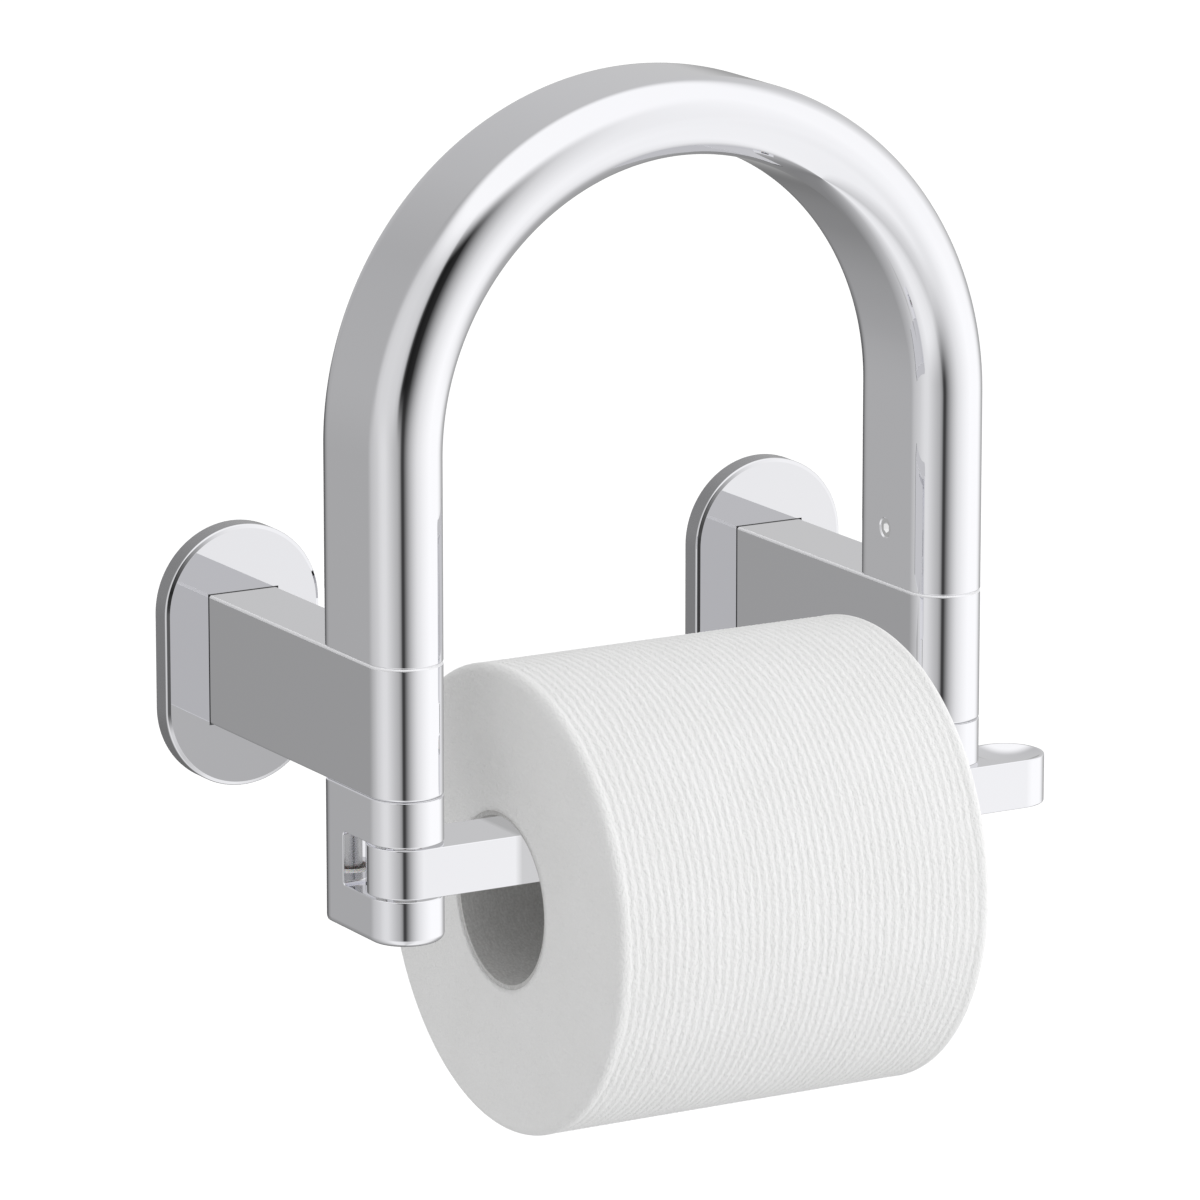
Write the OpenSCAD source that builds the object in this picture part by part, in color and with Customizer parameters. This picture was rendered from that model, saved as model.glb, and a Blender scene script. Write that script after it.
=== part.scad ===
// Wall-mounted toilet paper holder: a grab loop on two posts, with a swinging roll arm.
// Frame: +X right, +Y into the wall, +Z up. The origin is on the wall plane, midway
// between the two posts and level with their centre lines.

/* [Overall] */
// Distance between the centre lines of the two posts
spacing = 160; // [150:1:190]
// Wall to the front of the loop
reach = 103.8; // [95:0.1:120]
// Width of the loop, the posts and the end blocks
bar_w = 20; // [18:0.5:24]
// Front-to-back depth of the loop and the end blocks
bar_d = 34.5; // [30:0.5:40]
// Radius on the back edges of the bar
edge_r = 1; // [0.5:0.1:2]

/* [Wall covers] */
// Width of an obround cover
cover_w = 45; // [42:0.5:48]
// Height of an obround cover
cover_h = 70; // [66:0.5:80]
// Depth of a cover, wall to front face
cover_t = 6.3; // [6:0.1:9]
// Sheet thickness of a cover
cover_wall = 1.5; // [1:0.1:2]
// Radius on the front edge of a cover
cover_edge_r = 0.9; // [0.5:0.1:1.2]
// Gap between a cover's window and the post
cover_gap = 0.2; // [0.1:0.05:0.5]

/* [Wall brackets] */
// Thickness of a bracket's base plate
plate_t = 2.5; // [2:0.1:3]
// Vertical distance between a bracket's two screw holes
hole_pitch = 46; // [44:1:48]
// Diameter of a wall screw hole
hole_d = 5.5; // [4.5:0.1:6]
// Length of the spigot that the post slides on to
spigot_l = 32; // [20:1:40]

/* [Posts] */
// Height of a post
post_h = 34.5; // [30:0.5:40]

/* [Loop] */
// Straight length of each leg above the post
leg_h = 52; // [30:1:90]

/* [End blocks] */
// Height of the block below each post
block_h = 38; // [36:0.5:44]
// Height of the slot for the arm
slot_h = 14; // [13.8:0.1:15]
// Thickness of the block behind the slot
web_t = 10; // [8:0.5:12]
// Width of the relief line where two pieces meet
seam_w = 0.4; // [0.2:0.1:0.8]

/* [Arm] */
// Height of the arm
arm_h = 13; // [12:0.1:13.2]
// How far the arm's tip stands past the outer face of the right leg
arm_over = 20.6; // [14:0.1:26]
// Radius of the finger dish
dish_r = 9.2; // [7:0.1:9.4]
// Depth of the finger dish
dish_depth = 2.2; // [1:0.1:4]
// Angle that the arm swings out
swing = 100; // [60:5:110]

/* [Paper roll] */
// Outside diameter of a full roll
roll_d = 122; // [100:1:124]
// Width of the roll
roll_w = 110; // [95:1:110]
// Inside diameter of the cardboard core
core_id = 44; // [40:0.5:46]
// Wall thickness of the cardboard core
core_wall = 1.2; // [0.8:0.1:2]
// Distance of the roll's middle from the holder's middle
roll_x = 2.5; // [-10:0.5:2.5]
// Radius on the roll's outer edges
roll_edge_r = 3; // [2:0.5:5]

/* [Hidden] */
$fn = 96;
cut = 1;                               // how far a cutter runs past a face
slip = 0.05;                           // radial clearance of a running fit
snug = 0.02;                           // radial clearance of a fixed fit
half = spacing / 2;
nose_r = bar_w / 2;
nose_h = reach - nose_r;               // wall to the centre of the rounded front
leg_back = reach - bar_d;
post_top = post_h / 2;
arch_z = post_top + leg_h;
block_bottom = -post_top - block_h;
slot_z = -post_top - block_h / 2;      // centre height of the slot and the arm
slot_top = slot_z + slot_h / 2;
slot_floor = slot_z - slot_h / 2;
slot_back = leg_back + web_t;
slot_corner_r = 1;
arm_top = slot_z + arm_h / 2;
arm_bottom = slot_z - arm_h / 2;
arm_len = 2 * half + arm_over;         // between the centres of the arm's round ends

stud_h = 81.5;                         // wall to a tie stud's axis
stud_d = 8;
stud_up = 26;                          // stud length inside the loop
stud_down = 9;                         // stud length inside the end block
nut_af = 13;
nut_t = 5;
nut_well_d = 15.4;
nut_well_t = 5.5;
dowel_h = 73.5;                        // wall to a dowel's axis
dowel_d = 3;
dowel_l = 10;
screw_d = 5;                           // every set screw
screw_hex = 2.9;                       // across the corners of its socket
screw_hex_t = 2.2;
loop_screw_z = 32;
post_screw_h = 18;
post_back = plate_t + 0.1;
socket_w = 13;
socket_t = 26;
socket_end = 66;

pin_d = 6;
pin_up = 8;                            // pivot pin length inside the upper cheek
bush_d = 9;
washer_d = 10;
washer_t = 0.45;
track_r = 6.8;                         // radius of the stop and drag tracks about the pivot
track_a = 180;                         // where both tracks begin, from the arm's direction
stop_d = 3;
stop_down = 6;                         // stop pin length in the lower cheek
stop_up = 2.2;                         // stop pin length above the slot's floor
ball_d = 3;
ball_sink = 0.9;                       // how deep the ball sits in its track
track_gap = 0.3;                       // how much wider a track is than what rides in it
ball_bore_d = 3.2;
drag_screw_d = 4;
drag_screw_l = 3.4;
spring_wire = 0.4;
spring_turns = 5;

pad_w = 12;
pad_l = 14;
pad_t = 1.5;
pad_sink = 1.1;
bumper_d = 8;
bumper_stem_d = 4;
bumper_stem_l = 6;
bumper_gap = 0.1;

grip_border = 3.4;                     // width of the rubber grip's frame
grip_t = 2;
core_r = core_id / 2;
core_gap = 0.2;                        // between the core and the arm's top edges
roll_z = arm_top - sqrt(pow(core_r - core_gap, 2) - pow(nose_r, 2));

// ---- Shared shapes ----

// Local Z points out of the wall and local Y points up, on one post's centre line
module on_wall(side) {
    translate([side * half, 0, 0]) rotate([90, 0, 0]) children();
}

// Extrudes a plan, drawn as x across and y out of the wall, between two heights
module upright(side, z0, z1) {
    translate([side * half, 0, z0]) mirror([0, 1, 0]) linear_extrude(z1 - z0) children();
}

// A vertical rod at a distance out of the wall
module rod(side, out, d, z0, z1) {
    translate([side * half, -out, z0]) cylinder(h = z1 - z0, d = d);
}

module obround(w, h) {
    square([w, h - w], center = true);
    for (s = [-1, 1]) translate([0, s * (h - w) / 2]) circle(d = w);
}

// Plan of the bar: flat sides, a full round front and small radii at the back
module bar_plan(back, inset = 0) {
    r = nose_r - inset;
    rear = back + inset;
    translate([0, nose_h]) circle(r);
    translate([-r, rear + edge_r]) square([2 * r, nose_h - rear - edge_r]);
    translate([-r + edge_r, rear]) square([2 * (r - edge_r), nose_h - rear]);
    for (s = [-1, 1]) translate([s * (r - edge_r), rear + edge_r]) circle(edge_r);
}

// A vertical length of bar, with a shallow relief line at its top or bottom end
module bar_length(side, back, z0, z1, low_seam = false, high_seam = false) {
    low = low_seam ? seam_w / 2 : 0;
    high = high_seam ? seam_w / 2 : 0;
    upright(side, z0 + low, z1 - high) bar_plan(back);
    if (low_seam) upright(side, z0, z0 + 2 * low) bar_plan(back, seam_w);
    if (high_seam) upright(side, z1 - 2 * high, z1) bar_plan(back, seam_w);
}

// A set screw with a hex socket, its socket end at z = 0 and its point upwards
module set_screw(d, l) {
    difference() {
        cylinder(h = l, d = d - 2 * snug);
        translate([0, 0, -cut]) cylinder(h = screw_hex_t + cut, d = screw_hex, $fn = 6);
    }
}

// ---- Wall brackets and covers ----

module wall_bracket(side) {
    color("lightslategray") on_wall(side) difference() {
        union() {
            linear_extrude(plate_t) obround(cover_w - 9, cover_h - 9);
            translate([0, 0, plate_t + spigot_l / 2])
                cube([socket_w - 0.2, socket_t - 0.2, spigot_l + plate_t], center = true);
        }
        for (s = [-1, 1]) translate([0, s * hole_pitch / 2, -cut])
            cylinder(h = plate_t + 2 * cut, d = hole_d);
    }
}

// A shallow obround cap with a rounded front edge and a window for the post
module cover(side) {
    inner_w = cover_w - 2 * cover_wall;
    inner_h = cover_h - 2 * cover_wall;
    round_w = cover_w - 2 * cover_edge_r;
    round_h = cover_h - 2 * cover_edge_r;
    color("silver") on_wall(side) difference() {
        union() {
            linear_extrude(cover_t - cover_edge_r) obround(cover_w, cover_h);
            linear_extrude(cover_t) obround(round_w, round_h);
            for (s = [-1, 1]) {
                translate([s * round_w / 2, 0, cover_t - cover_edge_r]) rotate([90, 0, 0])
                    cylinder(h = cover_h - cover_w, r = cover_edge_r, center = true);
                translate([0, s * (cover_h - cover_w) / 2, cover_t - cover_edge_r])
                    rotate([0, 0, s > 0 ? 0 : 180]) rotate_extrude(angle = 180)
                        translate([round_w / 2, 0]) circle(cover_edge_r);
            }
        }
        translate([0, 0, -cut])
            linear_extrude(cover_t - cover_wall + cut) obround(inner_w, inner_h);
        cube([bar_w + 2 * cover_gap, post_h + 2 * cover_gap, 4 * cover_t], center = true);
    }
}

// Rubber frame inside the cover that grips the post
module cover_grip(side) {
    w = bar_w + 2 * slip;
    h = post_h + 2 * slip;
    color("dimgray") on_wall(side) translate([0, 0, cover_t - cover_wall - grip_t])
        linear_extrude(grip_t) difference() {
            square([w + 2 * grip_border, h + 2 * grip_border], center = true);
            square([w, h], center = true);
        }
}

// ---- Posts, loop and end blocks ----

module post(side) {
    color("silver") difference() {
        bar_length(side, post_back, -post_top, post_top);
        on_wall(side) translate([-socket_w / 2, -socket_t / 2, 0])
            cube([socket_w, socket_t, socket_end]);
        rod(side, stud_h, stud_d, -post_top - cut, post_top + cut);
        rod(side, stud_h, nut_well_d, post_top - nut_well_t, post_top + cut);
        rod(side, dowel_h, dowel_d, -post_top - cut, -post_top + dowel_l / 2);
        rod(side, post_screw_h, screw_d, -post_top - cut, 0);
    }
}

// One bar: two straight legs joined by a half-circle arch
module grab_loop() {
    color("silver") difference() {
        union() {
            translate([0, 0, arch_z]) rotate([90, 0, 0]) rotate_extrude(angle = 180)
                translate([half, 0]) bar_plan(leg_back);
            for (side = [-1, 1])
                bar_length(side, leg_back, post_top, arch_z, low_seam = true);
        }
        for (side = [-1, 1]) {
            rod(side, stud_h, stud_d, post_top - cut, post_top + stud_up + 1);
            translate([side * half, -stud_h, loop_screw_z]) rotate([0, -side * 90, 0])
                cylinder(h = nose_r + cut, d = screw_d);
        }
    }
}

// The slot is open to the front and to both sides
module slot_cutter(side) {
    out = slot_back;
    w = bar_w + 2 * cut;
    translate([side * half - w / 2, -reach - cut, slot_floor + slot_corner_r])
        cube([w, reach + cut - out, slot_h - 2 * slot_corner_r]);
    translate([side * half - w / 2, -reach - cut, slot_floor])
        cube([w, reach + cut - out - slot_corner_r, slot_h]);
    for (z = [slot_floor + slot_corner_r, slot_top - slot_corner_r])
        translate([side * half, -out - slot_corner_r, z]) rotate([0, 90, 0])
            cylinder(h = w, r = slot_corner_r, center = true);
}

module end_block(side) {
    difference() {
        bar_length(side, leg_back, block_bottom, -post_top, high_seam = true);
        slot_cutter(side);
        rod(side, stud_h, stud_d, -post_top - stud_down - 0.5, -post_top + cut);
        rod(side, dowel_h, dowel_d, -post_top - dowel_l / 2, -post_top + cut);
    }
}

module left_hinge_block() {
    color("silver") difference() {
        end_block(-1);
        rod(-1, nose_h, pin_d, block_bottom - cut, slot_top + pin_up);
        at_track() {
            translate([0, 0, slot_floor - block_bottom - stop_down])
                cylinder(h = stop_down + cut, d = stop_d);
            translate([0, 0, slot_z - block_bottom])
                cylinder(h = block_h, d = ball_bore_d);
            translate([0, 0, block_h - drag_screw_l - 0.4])
                cylinder(h = block_h, d = drag_screw_d);
        }
    }
}

module right_rest_block() {
    color("silver") difference() {
        end_block(1);
        translate([half - pad_w / 2, -nose_h - pad_l / 2, slot_floor - pad_sink])
            cube([pad_w, pad_l, pad_sink + cut]);
        translate([half, -slot_back - cut, slot_z]) rotate([-90, 0, 0])
            cylinder(h = bumper_stem_l + cut, d = bumper_stem_d);
    }
}

// ---- Fasteners ----

// Threaded into the end block, clamped by a nut in the post, and gripped in the loop
module tie_stud(side) {
    color("gray") difference() {
        rod(side, stud_h, stud_d - 2 * snug, -post_top - stud_down, post_top + stud_up);
        translate([side * (half - stud_d / 2 - 0.1), -stud_h, loop_screw_z])
            rotate([0, side * 90, 0]) cylinder(h = 1.2, r1 = 2, r2 = 0.8);
    }
}

module tie_nuts() {
    color("gray") for (side = [-1, 1]) difference() {
        translate([side * half, -stud_h, post_top - nut_well_t])
            cylinder(h = nut_t, d = nut_af / cos(30), $fn = 6);
        rod(side, stud_h, stud_d, 0, post_top + cut);
    }
}

module block_dowels() {
    color("gray") for (side = [-1, 1])
        rod(side, dowel_h, dowel_d - 2 * snug, -post_top - dowel_l / 2 + 0.2,
            -post_top + dowel_l / 2 - 0.2);
}

module loop_set_screws() {
    length = nose_r - stud_d / 2 - 0.4;
    color("dimgray") for (side = [-1, 1])
        translate([side * (half - nose_r + 0.4), -stud_h, loop_screw_z])
            rotate([0, side * 90, 0]) set_screw(screw_d, length);
}

module post_set_screws() {
    length = post_top - socket_t / 2 - 0.2;
    color("dimgray") for (side = [-1, 1])
        translate([side * half, -post_screw_h, -post_top + 0.2]) set_screw(screw_d, length);
}

// ---- Arm and its pivot ----

// Moves to where the stop pin and the drag ball stand, beside the pivot
module at_track() {
    translate([-half, -nose_h, block_bottom]) rotate([0, 0, track_a])
        translate([track_r, 0, 0]) children();
}

// Part-circle groove about the pivot, square in section and as long as the arm's swing
module track(z, depth, rider_d) {
    w = rider_d + track_gap;
    end_a = asin(w / 2 / track_r);
    translate([-half, -nose_h, z]) rotate([0, 0, track_a - end_a])
        rotate_extrude(angle = swing + 2 * end_a) translate([track_r - w / 2, 0])
            square([w, depth]);
}

module swing_arm() {
    dish_sphere = (pow(dish_r, 2) + pow(dish_depth, 2)) / (2 * dish_depth);
    color("silver") difference() {
        translate([-half, -nose_h, arm_bottom]) linear_extrude(arm_h) {
            circle(nose_r);
            translate([arm_len, 0]) circle(nose_r);
            translate([0, -nose_r]) square([arm_len, 2 * nose_r]);
        }
        rod(-1, nose_h, bush_d, arm_bottom - cut, arm_top + cut);
        translate([-half + arm_len, -nose_h, arm_top - dish_depth + dish_sphere])
            sphere(dish_sphere);
        track(arm_top - ball_sink - 0.1, ball_sink + 0.1 + cut, ball_d);
        track(arm_bottom - cut, stop_up + cut, stop_d);
    }
}

module pivot_bush() {
    color("white") difference() {
        rod(-1, nose_h, bush_d - 2 * snug, arm_bottom, arm_top);
        rod(-1, nose_h, pin_d + 2 * slip, arm_bottom - cut, arm_top + cut);
    }
}

module pivot_pin() {
    color("gray") rod(-1, nose_h, pin_d - 2 * snug, block_bottom + 0.4, slot_top + pin_up - 0.2);
}

module pivot_washers() {
    color("white") for (z = [slot_floor, slot_top - washer_t]) difference() {
        rod(-1, nose_h, washer_d, z, z + washer_t);
        rod(-1, nose_h, pin_d + 2 * slip, z - cut, z + washer_t + cut);
    }
}

module stop_pin() {
    low = slot_floor - block_bottom - stop_down + 0.2;
    color("gray") at_track() translate([0, 0, low])
        cylinder(h = stop_down + stop_up - 0.2, d = stop_d - 2 * snug);
}

module drag_ball() {
    color("gray") at_track()
        translate([0, 0, arm_top + ball_d / 2 - ball_sink - block_bottom]) sphere(d = ball_d);
}

// A round wire wound on a helix, as rings of points joined by quads
module coil(mean_d, wire_d, length, turns) {
    sides = 6;
    steps = turns * 16;
    ring = [for (j = [0 : sides - 1]) wire_d / 2 * [cos(j * 360 / sides), sin(j * 360 / sides)]];
    points = [for (i = [0 : steps], p = ring) let (a = i * 360 * turns / steps)
        [(mean_d / 2 + p[0]) * cos(a), (mean_d / 2 + p[0]) * sin(a),
         wire_d / 2 + p[1] + i * (length - wire_d) / steps]];
    sleeve = [for (i = [0 : steps - 1], j = [0 : sides - 1]) let (k = (j + 1) % sides)
        [i * sides + j, (i + 1) * sides + j, (i + 1) * sides + k, i * sides + k]];
    first = [for (j = [0 : sides - 1]) j];
    last = [for (j = [0 : sides - 1]) steps * sides + sides - 1 - j];
    polyhedron(points, concat([first, last], sleeve));
}

module drag_spring() {
    low = arm_top + ball_d - ball_sink - block_bottom;
    high = block_h - drag_screw_l - 0.3;
    color("gray") at_track() translate([0, 0, low])
        coil(ball_bore_d - 0.3 - spring_wire, spring_wire, high - low, spring_turns);
}

module drag_screw() {
    color("dimgray") at_track() translate([0, 0, block_h - 0.3]) rotate([180, 0, 0])
        set_screw(drag_screw_d, drag_screw_l);
}

module rest_pad() {
    color("white") translate([half - pad_w / 2 + snug, -nose_h - pad_l / 2 + snug,
                              slot_floor - pad_sink])
        cube([pad_w - 2 * snug, pad_l - 2 * snug, pad_t]);
}

module rest_bumper() {
    head = nose_h - nose_r - slot_back;
    color("dimgray") translate([half, -slot_back, slot_z]) rotate([90, 0, 0]) {
        cylinder(h = head - bumper_gap, d = bumper_d);
        translate([0, 0, -bumper_stem_l + 0.2])
            cylinder(h = bumper_stem_l, d = bumper_stem_d - 2 * snug);
    }
}

// ---- Paper ----

// Points local Z along the roll's axis, with its middle at the origin
module on_roll() {
    translate([roll_x, -nose_h, roll_z]) rotate([0, 90, 0]) children();
}

module cardboard_core() {
    color("tan") on_roll() difference() {
        cylinder(h = roll_w - 1, r = core_r + core_wall, center = true);
        cylinder(h = roll_w + cut, r = core_r, center = true);
    }
}

module paper_roll() {
    r = roll_d / 2;
    color("whitesmoke") on_roll() difference() {
        rotate_extrude() {
            translate([0, -roll_w / 2]) square([r - roll_edge_r, roll_w]);
            translate([0, -roll_w / 2 + roll_edge_r]) square([r, roll_w - 2 * roll_edge_r]);
            for (s = [-1, 1]) translate([r - roll_edge_r, s * (roll_w / 2 - roll_edge_r)])
                circle(roll_edge_r);
        }
        cylinder(h = roll_w + cut, r = core_r + core_wall + snug, center = true);
    }
}

wall_bracket(-1);  // left_wall_bracket
wall_bracket(1);  // right_wall_bracket
cover(-1);  // left_cover
cover(1);  // right_cover
cover_grip(-1);  // left_cover_grip
cover_grip(1);  // right_cover_grip
post(-1);  // left_post
post(1);  // right_post
grab_loop();
left_hinge_block();
right_rest_block();
tie_stud(-1);  // left_tie_stud
tie_stud(1);  // right_tie_stud
tie_nuts();
block_dowels();
loop_set_screws();
post_set_screws();
swing_arm();
pivot_bush();
pivot_pin();
pivot_washers();
stop_pin();
drag_ball();
drag_spring();
drag_screw();
rest_pad();
rest_bumper();
cardboard_core();
paper_roll();
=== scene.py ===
"""A wall-mounted toilet paper holder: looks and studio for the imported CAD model, in metres.

Chrome pieces are built as closed skins with the exact normal at every corner, so that
polished faces reflect without ripples and every edge has its own small round.
"""

import math

import bpy
import numpy as np
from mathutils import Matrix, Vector
from mathutils.geometry import delaunay_2d_cdt


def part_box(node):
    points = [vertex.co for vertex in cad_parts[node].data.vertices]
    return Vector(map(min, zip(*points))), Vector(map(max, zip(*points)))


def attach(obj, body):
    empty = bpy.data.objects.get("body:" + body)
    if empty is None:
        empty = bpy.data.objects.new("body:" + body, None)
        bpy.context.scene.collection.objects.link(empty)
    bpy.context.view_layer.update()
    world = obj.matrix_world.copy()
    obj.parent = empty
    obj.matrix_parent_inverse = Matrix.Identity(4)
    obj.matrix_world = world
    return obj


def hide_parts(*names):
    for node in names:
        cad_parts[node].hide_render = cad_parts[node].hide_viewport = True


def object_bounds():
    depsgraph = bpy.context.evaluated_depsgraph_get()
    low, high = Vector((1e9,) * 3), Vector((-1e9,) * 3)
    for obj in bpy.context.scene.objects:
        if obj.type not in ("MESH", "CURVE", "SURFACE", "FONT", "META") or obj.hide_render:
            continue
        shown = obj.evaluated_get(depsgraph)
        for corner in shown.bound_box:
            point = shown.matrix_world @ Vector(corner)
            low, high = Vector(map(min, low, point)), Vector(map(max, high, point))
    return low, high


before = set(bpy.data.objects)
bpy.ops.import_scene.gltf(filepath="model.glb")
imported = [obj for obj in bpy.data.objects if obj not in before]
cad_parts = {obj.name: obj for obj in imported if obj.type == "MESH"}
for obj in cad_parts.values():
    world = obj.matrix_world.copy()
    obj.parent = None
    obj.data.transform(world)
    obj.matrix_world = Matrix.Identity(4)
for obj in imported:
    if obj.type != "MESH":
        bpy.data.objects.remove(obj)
cad_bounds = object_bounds()

MM = 0.001
LEFT, RIGHT = -1, 1

# ---- Sizes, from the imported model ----

post_low, post_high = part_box("left_post")
loop_low, loop_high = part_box("grab_loop")
block_low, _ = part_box("left_hinge_block")
arm_low, arm_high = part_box("swing_arm")
cover_low, cover_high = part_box("left_cover")
roll_low, roll_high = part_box("paper_roll")
core_low, core_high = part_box("cardboard_core")
loop_screw_low, loop_screw_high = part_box("loop_set_screws")
post_screw_low, post_screw_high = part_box("post_set_screws")
pin_low, pin_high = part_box("pivot_pin")
bush_low, bush_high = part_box("pivot_bush")
_, drag_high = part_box("drag_screw")
washer_low, washer_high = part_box("pivot_washers")
pad_low, pad_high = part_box("rest_pad")
_, bumper_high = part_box("rest_bumper")
stop_low, stop_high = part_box("stop_pin")
ball_low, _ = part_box("drag_ball")

BUMPER_STEM = 5.8 * MM               # how far the bumper is sunk behind the slot's back
NOSE_R = (post_high.x - post_low.x) / 2
HALF = loop_high.x - NOSE_R
REACH = -loop_low.y
NOSE_OUT = REACH - NOSE_R            # wall to the centre of the rounded front
LEG_BACK = -loop_high.y
POST_BACK = -post_high.y
POST_TOP = post_high.z
ARCH_Z = loop_high.z - NOSE_R - HALF
BLOCK_BOTTOM = block_low.z
SLOT_TOP, SLOT_FLOOR = washer_high.z, washer_low.z
SLOT_BACK = -bumper_high.y + BUMPER_STEM
ARM_LEN = arm_high.x - NOSE_R + HALF
COVER_W, COVER_H = cover_high.x - cover_low.x, cover_high.z - cover_low.z
COVER_T = -cover_low.y
ROLL_R = (roll_high.z - roll_low.z) / 2
ROLL_X, ROLL_Z = (roll_high.x + roll_low.x) / 2, (roll_high.z + roll_low.z) / 2
ROLL_W = roll_high.x - roll_low.x
CORE_R = (core_high.z - core_low.z) / 2
CORE_W = core_high.x - core_low.x
CORE_WALL = 1.2 * MM
PIN_R = (pin_high.x - pin_low.x) / 2
RIDER_R = (stop_high.x - stop_low.x) / 2
TRACK_R = -HALF - (stop_low.x + stop_high.x) / 2

# ---- Edge rounds and small details ----

BACK_EDGE, BACK_EASE = 0.6 * MM, 3.4 * MM   # back corners, across and along the sides
SEAM_INSET = 0.4 * MM
SEAM_GAP = 0.2 * MM
SEAM_ROUND = 0.25 * MM
POST_ROUND = 0.7 * MM
BLOCK_ROUND = 2.0 * MM
SLOT_ROUND = 0.35 * MM
SLOT_CORNER = 1.0 * MM
ARM_ROUND = 0.4 * MM
ARM_SWING = 100.0                    # degrees
TRACK_GAP = 0.3 * MM                 # how much wider a track is than what rides in it
TRACK_CLEAR = 0.1 * MM
DISH_R = 9.2 * MM
DISH_DEPTH = 2.2 * MM
DISH_ROUND = 0.8 * MM
COVER_WALL = 1.5 * MM
COVER_BEVEL = 0.8 * MM               # width of the shallow bevel round the front
COVER_BEVEL_DEPTH = 1.05 * MM        # from the front back to where the satin side with painted shade begins
COVER_BEVEL_ANGLE = 30.0             # degrees back from the front face
COVER_SIDE_ROUND = 0.62 * MM
COVER_FACE_ROUND = 0.18 * MM
COVER_GAP = 0.3 * MM
BORE_GAP = 0.02 * MM
PIVOT_CHAMFER = 0.28 * MM
SCREW_R = 2.5 * MM
SCREW_CHAMFER = 0.3 * MM
SCREW_DEPTH = 6.0 * MM
ROLL_ROUND = 2.4 * MM


# ---- Skins: closed surfaces from grids and flat plates ----

WELD = 0.001 * MM
WELD_SHIFT = 0.3137                  # keeps round sizes off the borders of the weld's cells
ARC_STEPS = 32                       # facets in each quarter of an outline's corner
SHARPEST = 0.02 * MM


class Axes:
    """A local frame: its origin, and the world directions of u, v and w."""

    def __init__(self, origin, u, v, w):
        self.origin = np.array(origin, float)
        self.basis = np.array([u, v, w], float)

    def point(self, local):
        return self.origin + np.asarray(local, float) @ self.basis

    def direction(self, local):
        return np.asarray(local, float) @ self.basis

    def points_at(self, ring, w):
        """World points of a flat outline at height w."""
        return self.point(np.column_stack([ring, np.full(len(ring), w)]))

    def directions(self, out, up):
        """World directions with one w part, up, for all of an outline's (u, v) parts."""
        return self.direction(np.column_stack([out, np.full(len(out), up)]))


class Skin:
    """Faces with the exact normal at each corner, welded into one mesh at the end."""

    def __init__(self):
        self.corners, self.normals, self.sizes = [], [], []

    def add(self, corners, normals):
        corners = np.asarray(corners, float)
        self.corners.append(corners.reshape(-1, 3))
        self.normals.append(np.broadcast_to(normals, corners.shape).reshape(-1, 3))
        self.sizes += [corners.shape[1]] * corners.shape[0]

    def grid(self, points, normals, wrap=False, skip=()):
        """Quads between neighbouring rows and columns; skip leaves out columns."""
        points = np.asarray(points, float)
        normals = np.broadcast_to(normals, points.shape)
        count = points.shape[1] - (0 if wrap else 1)
        here = np.array([c for c in range(count) if c not in skip])
        there = (here + 1) % points.shape[1]

        def quads(a):
            ring = [a[:-1][:, here], a[:-1][:, there], a[1:][:, there], a[1:][:, here]]
            return np.stack(ring, axis=2).reshape(-1, 4, 3)

        self.add(quads(points), quads(normals))

    def plate(self, axes, w, facing, loops):
        """A flat face at height w inside the first loop of (u, v), less the others."""
        loops = [without_repeats(np.asarray(loop, float)) for loop in loops]
        flat = [Vector(p) for loop in loops for p in loop]
        edges, start = [], 0
        for loop in loops:
            n = len(loop)
            edges += [(start + i, start + (i + 1) % n) for i in range(n)]
            start += n
        made = delaunay_2d_cdt(flat, edges, [], 0, 1e-8)
        spots = np.array([tuple(p) for p in made[0]])
        for face in made[2]:
            corners = spots[list(face)]
            if inside(corners.mean(0), loops):
                self.add(axes.points_at(corners, w)[None], axes.direction([0, 0, facing]))

    def build(self, name, body, slot, material, *nodes):
        """Welds the corners, turns every face outwards and adds the piece."""
        corners, normals = np.concatenate(self.corners), np.concatenate(self.normals)
        keys = np.floor(corners / WELD + WELD_SHIFT).astype(np.int64)
        _, first, ids = np.unique(keys, axis=0, return_index=True, return_inverse=True)
        points, ids = corners[first], ids.reshape(-1)
        faces, face_normals, start = [], [], 0
        for size in self.sizes:
            span = range(start, start + size)
            start += size
            keep = [i for k, i in enumerate(span) if ids[i] != ids[span[k - 1]]]
            if len({ids[i] for i in keep}) < 3:
                continue
            ring = points[ids[keep]]
            turn = np.cross(ring[1] - ring[0], ring[2] - ring[0])
            if len(keep) == 4:
                turn = np.cross(ring[2] - ring[0], ring[3] - ring[1])
            if turn @ normals[keep].sum(0) < 0:
                keep.reverse()
            faces.append([int(ids[i]) for i in keep])
            face_normals += [tuple(normals[i]) for i in keep]
        mesh = bpy.data.meshes.new(name)
        mesh.from_pydata([tuple(p) for p in points], [], faces)
        mesh.polygons.foreach_set("use_smooth", [True] * len(mesh.polygons))
        mesh.normals_split_custom_set(face_normals)
        return finish_piece(name, mesh, body, slot, material, *nodes)


def without_repeats(loop):
    return loop[[i for i in range(len(loop)) if np.abs(loop[i] - loop[i - 1]).max() > 1e-8]]


def inside(point, loops):
    """Even-odd test of a point against closed loops."""
    crossings = 0
    for loop in loops:
        a, b = loop, np.roll(loop, -1, axis=0)
        spans = (a[:, 1] > point[1]) != (b[:, 1] > point[1])
        rise = np.where(spans, b[:, 1] - a[:, 1], 1.0)
        at = a[:, 0] + (b[:, 0] - a[:, 0]) * (point[1] - a[:, 1]) / rise
        crossings += np.count_nonzero(spans & (point[0] < at))
    return crossings % 2 == 1


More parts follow.
